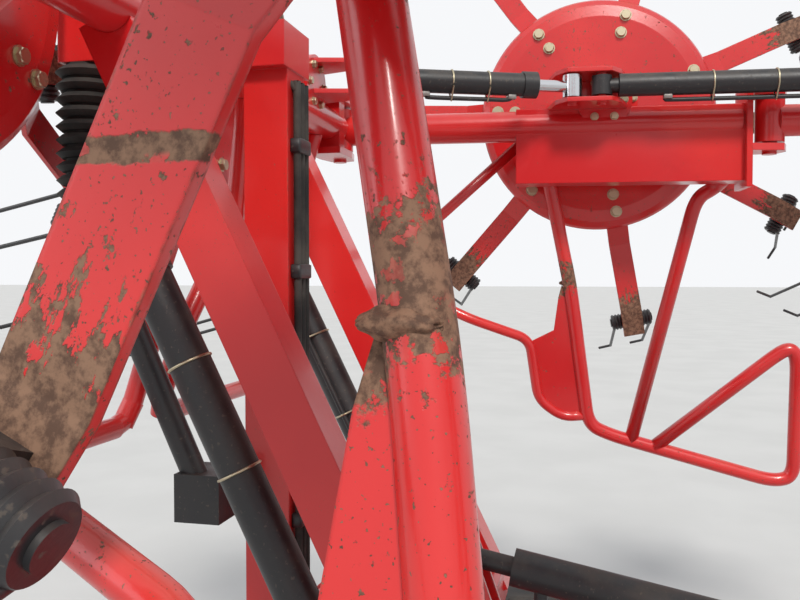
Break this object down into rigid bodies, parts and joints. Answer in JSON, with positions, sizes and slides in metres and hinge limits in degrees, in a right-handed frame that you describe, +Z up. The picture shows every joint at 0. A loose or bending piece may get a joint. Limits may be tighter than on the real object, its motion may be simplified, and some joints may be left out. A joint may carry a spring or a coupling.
{
  "type": "trailed hay tedder",
  "caption": "Trailed hay tedder with spinning tined rotors on folding wings, folded for the road.",
  "frame": {"origin": "on the ground under the middle of the folded machine's bounding box", "axes": "+X to the machine's right, +Y forward along the drawbar to the towing eye, +Z up"},
  "size_m": [3.5402, 3.852, 2.9165],
  "materials": {
    "red_paint": "gloss",
    "rubber": "matte",
    "boot": "satin",
    "black_steel": "satin",
    "spring_steel": "satin",
    "steel": "satin",
    "chrome": "polished"
  },
  "bodies": {
    "chassis": {"drawbar": "red_paint", "setting_cylinder": "black_steel", "cylinder_posts": "red_paint"},
    "wheel_left": {"wheel_left": "rubber"},
    "wheel_right": {"wheel_right": "rubber"},
    "parking_leg": {"parking_leg": "red_paint"},
    "lift_frame": {"lift_tower": "red_paint", "centre_beam": "red_paint", "drive_boot": "boot", "input_shaft": "steel", "centre_guard": "red_paint"},
    "lift_barrel_left": {"lift_barrel_left": "black_steel"},
    "lift_rod_left": {"lift_rod_left": "chrome"},
    "lift_barrel_right": {"lift_barrel_right": "black_steel"},
    "lift_rod_right": {"lift_rod_right": "chrome"},
    "wing_inner_left": {"inner_beam_left": "red_paint", "inner_guard_left": "red_paint"},
    "wing_outer_left": {"outer_beam_left": "red_paint", "outer_guard_left": "red_paint"},
    "swing_barrel_left": {"swing_barrel_left": "black_steel"},
    "swing_rod_left": {"swing_rod_left": "chrome"},
    "outer_barrel_left": {"outer_barrel_left": "black_steel"},
    "outer_rod_left": {"outer_rod_left": "chrome"},
    "wing_inner_right": {"inner_beam_right": "red_paint", "inner_guard_right": "red_paint"},
    "wing_outer_right": {"outer_beam_right": "red_paint", "outer_guard_right": "red_paint"},
    "swing_barrel_right": {"swing_barrel_right": "black_steel"},
    "swing_rod_right": {"swing_rod_right": "chrome"},
    "outer_barrel_right": {"outer_barrel_right": "black_steel"},
    "outer_rod_right": {"outer_rod_right": "chrome"},
    "rotor_1": {"rotor_disc_1": "red_paint", "rotor_tines_1": "spring_steel"},
    "gauge_wheel_1": {"gauge_wheel_1": "rubber"},
    "rotor_2": {"rotor_disc_2": "red_paint", "rotor_tines_2": "spring_steel"},
    "gauge_wheel_2": {"gauge_wheel_2": "rubber"},
    "rotor_3": {"rotor_disc_3": "red_paint", "rotor_tines_3": "spring_steel"},
    "gauge_wheel_3": {"gauge_wheel_3": "rubber"},
    "rotor_4": {"rotor_disc_4": "red_paint", "rotor_tines_4": "spring_steel"},
    "gauge_wheel_4": {"gauge_wheel_4": "rubber"},
    "rotor_5": {"rotor_disc_5": "red_paint", "rotor_tines_5": "spring_steel"},
    "gauge_wheel_5": {"gauge_wheel_5": "rubber"},
    "rotor_6": {"rotor_disc_6": "red_paint", "rotor_tines_6": "spring_steel"},
    "gauge_wheel_6": {"gauge_wheel_6": "rubber"}
  },
  "joints": [
    {"name": "wheel_left_spin", "type": "hinge", "parent": "chassis", "child": "wheel_left", "pos_m": [-0.95, -0.656, 0.355], "axis": [1, 0, 0], "continuous": true},
    {"name": "wheel_right_spin", "type": "hinge", "parent": "chassis", "child": "wheel_right", "pos_m": [0.95, -0.656, 0.355], "axis": [1, 0, 0], "continuous": true},
    {"name": "leg_swing", "type": "hinge", "parent": "chassis", "child": "parking_leg", "pos_m": [0.16, 1.174, 0.715], "axis": [-1, 0, 0], "range_deg": [0, 85]},
    {"name": "lift", "type": "hinge", "parent": "chassis", "child": "lift_frame", "pos_m": [0, -1.036, 0.9], "axis": [1, 0, 0], "range_deg": [0, 90]},
    {"name": "lift_cylinder_left", "type": "hinge", "parent": "chassis", "child": "lift_barrel_left", "pos_m": [-0.31, -0.876, 1.05], "axis": [1, 0, 0], "range_deg": [0, 100]},
    {"name": "lift_rod_left_slide", "type": "slide", "parent": "lift_barrel_left", "child": "lift_rod_left", "axis": [0, -0.4447, 0.8957], "range_m": [0, 0.4]},
    {"name": "lift_cylinder_right", "type": "hinge", "parent": "chassis", "child": "lift_barrel_right", "pos_m": [0.31, -0.876, 1.05], "axis": [1, 0, 0], "range_deg": [0, 100]},
    {"name": "lift_rod_right_slide", "type": "slide", "parent": "lift_barrel_right", "child": "lift_rod_right", "axis": [0, -0.4447, 0.8957], "range_m": [0, 0.4]},
    {"name": "wing_left_swing", "type": "hinge", "parent": "lift_frame", "child": "wing_inner_left", "pos_m": [-0.9, -1.221, 2.085], "axis": [0, 0, 1], "range_deg": [0, 85]},
    {"name": "outer_left_fold", "type": "hinge", "parent": "wing_inner_left", "child": "wing_outer_left", "pos_m": [-1.00807, 0.01428, 2.085], "axis": [0, 0, 1], "range_deg": [-12, 5]},
    {"name": "swing_cylinder_left", "type": "hinge", "parent": "lift_frame", "child": "swing_barrel_left", "pos_m": [-0.6, -1.071, 2.17], "axis": [0, 0, 1], "range_deg": [-20, 100]},
    {"name": "swing_rod_left_slide", "type": "slide", "parent": "swing_barrel_left", "child": "swing_rod_left", "axis": [-0.3899, 0.9209, 0], "range_m": [0, 0.5]},
    {"name": "outer_cylinder_left", "type": "hinge", "parent": "wing_inner_left", "child": "outer_barrel_left", "pos_m": [-0.83717, -0.44758, 2.17], "axis": [0, 0, 1], "range_deg": [-30, 30]},
    {"name": "outer_rod_left_slide", "type": "slide", "parent": "outer_barrel_left", "child": "outer_rod_left", "axis": [-0.0872, 0.9962, 0], "range_m": [-0.15, 0.2]},
    {"name": "wing_right_swing", "type": "hinge", "parent": "lift_frame", "child": "wing_inner_right", "pos_m": [0.9, -1.221, 2.085], "axis": [0, 0, -1], "range_deg": [0, 85]},
    {"name": "outer_right_fold", "type": "hinge", "parent": "wing_inner_right", "child": "wing_outer_right", "pos_m": [1.00807, 0.01428, 2.085], "axis": [0, 0, -1], "range_deg": [-12, 5]},
    {"name": "swing_cylinder_right", "type": "hinge", "parent": "lift_frame", "child": "swing_barrel_right", "pos_m": [0.6, -1.071, 2.17], "axis": [0, 0, -1], "range_deg": [-20, 100]},
    {"name": "swing_rod_right_slide", "type": "slide", "parent": "swing_barrel_right", "child": "swing_rod_right", "axis": [0.3899, 0.9209, 0], "range_m": [0, 0.5]},
    {"name": "outer_cylinder_right", "type": "hinge", "parent": "wing_inner_right", "child": "outer_barrel_right", "pos_m": [0.83717, -0.44758, 2.17], "axis": [0, 0, -1], "range_deg": [-30, 30]},
    {"name": "outer_rod_right_slide", "type": "slide", "parent": "outer_barrel_right", "child": "outer_rod_right", "axis": [0.0872, 0.9962, 0], "range_m": [-0.15, 0.2]},
    {"name": "rotor_1_spin", "type": "hinge", "parent": "wing_outer_left", "child": "rotor_1", "pos_m": [-1.23495, 0.65695, 2.15], "axis": [0.9962, 0.0872, 0], "continuous": true},
    {"name": "gauge_wheel_1_spin", "type": "hinge", "parent": "wing_outer_left", "child": "gauge_wheel_1", "pos_m": [-1.56867, 0.62776, 2.24], "axis": [0.0872, -0.9962, 0], "continuous": true},
    {"name": "rotor_2_spin", "type": "hinge", "parent": "wing_inner_left", "child": "rotor_2", "pos_m": [-1.13733, -0.45878, 2.15], "axis": [0.9962, 0.0872, 0], "continuous": true},
    {"name": "gauge_wheel_2_spin", "type": "hinge", "parent": "wing_inner_left", "child": "gauge_wheel_2", "pos_m": [-1.47106, -0.48798, 2.24], "axis": [0.0872, -0.9962, 0], "continuous": true},
    {"name": "rotor_3_spin", "type": "hinge", "parent": "lift_frame", "child": "rotor_3", "pos_m": [-0.56, -1.391, 2.15], "axis": [0, 1, 0], "continuous": true},
    {"name": "gauge_wheel_3_spin", "type": "hinge", "parent": "lift_frame", "child": "gauge_wheel_3", "pos_m": [-0.56, -1.726, 2.24], "axis": [1, 0, 0], "continuous": true},
    {"name": "rotor_4_spin", "type": "hinge", "parent": "lift_frame", "child": "rotor_4", "pos_m": [0.56, -1.391, 2.15], "axis": [0, 1, 0], "continuous": true},
    {"name": "gauge_wheel_4_spin", "type": "hinge", "parent": "lift_frame", "child": "gauge_wheel_4", "pos_m": [0.56, -1.726, 2.24], "axis": [1, 0, 0], "continuous": true},
    {"name": "rotor_5_spin", "type": "hinge", "parent": "wing_inner_right", "child": "rotor_5", "pos_m": [1.13733, -0.45878, 2.15], "axis": [-0.9962, 0.0872, 0], "continuous": true},
    {"name": "gauge_wheel_5_spin", "type": "hinge", "parent": "wing_inner_right", "child": "gauge_wheel_5", "pos_m": [1.47106, -0.48798, 2.24], "axis": [0.0872, 0.9962, 0], "continuous": true},
    {"name": "rotor_6_spin", "type": "hinge", "parent": "wing_outer_right", "child": "rotor_6", "pos_m": [1.23495, 0.65695, 2.15], "axis": [-0.9962, 0.0872, 0], "continuous": true},
    {"name": "gauge_wheel_6_spin", "type": "hinge", "parent": "wing_outer_right", "child": "gauge_wheel_6", "pos_m": [1.56867, 0.62776, 2.24], "axis": [0.0872, 0.9962, 0], "continuous": true}
  ],
  "couplings": [
    {"joint": "lift_cylinder_left", "follows": "lift", "ratio": 0.93683},
    {"joint": "lift_rod_left_slide", "follows": "lift", "m_per_rad": 0.19112},
    {"joint": "lift_cylinder_right", "follows": "lift", "ratio": 0.93683},
    {"joint": "lift_rod_right_slide", "follows": "lift", "m_per_rad": 0.19112},
    {"joint": "swing_cylinder_left", "follows": "wing_left_swing", "ratio": 0.83164},
    {"joint": "swing_rod_left_slide", "follows": "wing_left_swing", "m_per_rad": 0.28299},
    {"joint": "outer_cylinder_left", "follows": "outer_left_fold", "ratio": 0.45609},
    {"joint": "outer_rod_left_slide", "follows": "outer_left_fold", "m_per_rad": 0.14559},
    {"joint": "swing_cylinder_right", "follows": "wing_right_swing", "ratio": 0.83164},
    {"joint": "swing_rod_right_slide", "follows": "wing_right_swing", "m_per_rad": 0.28299},
    {"joint": "outer_cylinder_right", "follows": "outer_right_fold", "ratio": 0.45609},
    {"joint": "outer_rod_right_slide", "follows": "outer_right_fold", "m_per_rad": 0.14559},
    {"joint": "rotor_1_spin", "follows": "rotor_4_spin", "ratio": -1},
    {"joint": "rotor_2_spin", "follows": "rotor_4_spin", "ratio": 1},
    {"joint": "rotor_3_spin", "follows": "rotor_4_spin", "ratio": -1},
    {"joint": "rotor_5_spin", "follows": "rotor_4_spin", "ratio": -1},
    {"joint": "rotor_6_spin", "follows": "rotor_4_spin", "ratio": 1}
  ]
}
